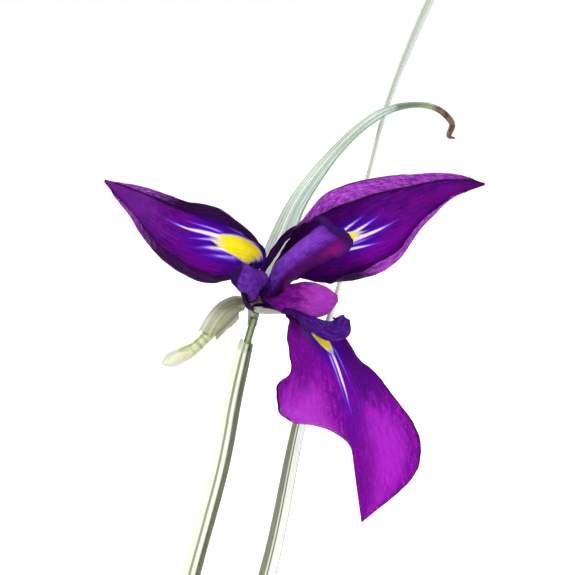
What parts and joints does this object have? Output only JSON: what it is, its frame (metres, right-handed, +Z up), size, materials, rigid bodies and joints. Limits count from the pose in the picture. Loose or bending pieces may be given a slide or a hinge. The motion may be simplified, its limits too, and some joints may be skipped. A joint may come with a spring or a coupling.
{
  "type": "potted iris",
  "caption": "Purple beardless iris in flower, with sword-shaped leaves and a nodding side bud, growing from a rhizome in a plain round clay pot of soil.",
  "frame": {"origin": "centre of the pot's flat underside, on the pot's own axis", "axes": "+Z up, -Y the side the flower faces, +X to the viewer's right"},
  "size_m": [0.2788, 0.148, 0.543],
  "materials": {
    "clay": "matte",
    "soil": "matte",
    "bark": "matte",
    "leaf": "satin",
    "stem": "satin",
    "sheath": "satin",
    "fall": "satin",
    "standard": "satin",
    "style": "satin",
    "anther": "matte"
  },
  "bodies": {
    "root": {"pot": "clay", "potting_soil": "soil", "rhizome": "bark", "flower_stem": "stem", "perianth_tube": "stem", "stem_sheath": "sheath", "spathe": "sheath", "side_bud": "sheath", "tall_leaf": "leaf", "arching_leaf": "leaf", "basal_leaf_a": "leaf", "basal_leaf_b": "leaf", "basal_leaf_c": "leaf", "basal_leaf_d": "leaf", "basal_leaf_e": "leaf", "basal_leaf_f": "leaf", "basal_leaf_g": "leaf", "basal_leaf_h": "leaf", "fall_left": "fall", "fall_right": "fall", "fall_lower": "fall", "standard_upper": "standard", "standard_right": "standard", "standard_rear": "standard", "style_arm_left": "style", "style_arm_right": "style", "style_arm_lower": "style", "stamen_left": "anther", "stamen_right": "anther", "stamen_lower": "anther"}
  },
  "joints": []
}
